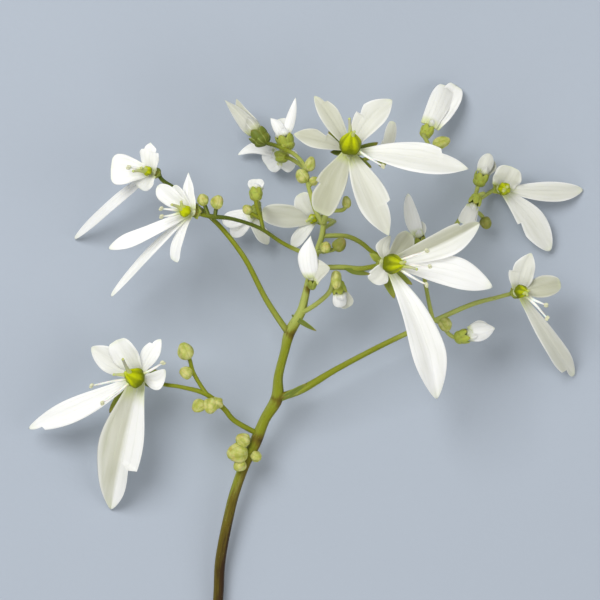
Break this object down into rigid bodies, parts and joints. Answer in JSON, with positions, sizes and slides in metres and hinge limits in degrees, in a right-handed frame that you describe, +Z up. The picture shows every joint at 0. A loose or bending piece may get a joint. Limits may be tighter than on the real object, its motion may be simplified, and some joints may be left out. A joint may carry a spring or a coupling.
{
  "type": "saxifraga fortunei cut flowering stem",
  "caption": "Cut stem of an autumn saxifrage with an open branched spray of white blooms with long lower petals, lime hearts, half-open flowers and green buds, lying on a surface",
  "frame": {"origin": "the middle of the bottom of the spray's box, on the surface that the stem lies on", "axes": "+X across the spray to its right, +Y up the stem towards the blooms, +Z up from the surface"},
  "size_m": [0.0702, 0.0798, 0.0264],
  "materials": {
    "green_stem": "satin olive to yellow green plant stem, brown near the cut, pale green buds",
    "white_petal": "soft matte white petal with fine veins and a faint green foot",
    "lime_heart": "satin lime green ovary with pale stamens and cream anthers"
  },
  "bodies": {
    "root": {"stem": "green_stem", "top_bloom_petals": "white_petal", "middle_bloom_petals": "white_petal", "lower_left_bloom_petals": "white_petal", "left_bloom_petals": "white_petal", "far_left_bloom_petals": "white_petal", "right_bloom_petals": "white_petal", "far_right_bloom_petals": "white_petal", "back_bloom_petals": "white_petal", "back_left_opening_flower_petals": "white_petal", "top_bloom_heart": "lime_heart", "middle_bloom_heart": "lime_heart", "lower_left_bloom_heart": "lime_heart", "left_bloom_heart": "lime_heart", "far_left_bloom_heart": "lime_heart", "right_bloom_heart": "lime_heart", "far_right_bloom_heart": "lime_heart", "back_bloom_heart": "lime_heart", "upper_left_opening_flower_petals": "white_petal", "top_opening_flower_petals": "white_petal", "back_opening_flower_petals": "white_petal", "upper_right_opening_flower_petals": "white_petal", "behind_middle_opening_flower_petals": "white_petal", "behind_top_opening_flower_petals": "white_petal", "far_right_opening_flower_petals": "white_petal", "far_right_white_bud_petals": "white_petal", "right_white_bud_petals": "white_petal", "front_opening_flower_petals": "white_petal", "left_opening_flower_petals": "white_petal", "hanging_opening_flower_petals": "white_petal"}
  },
  "joints": []
}
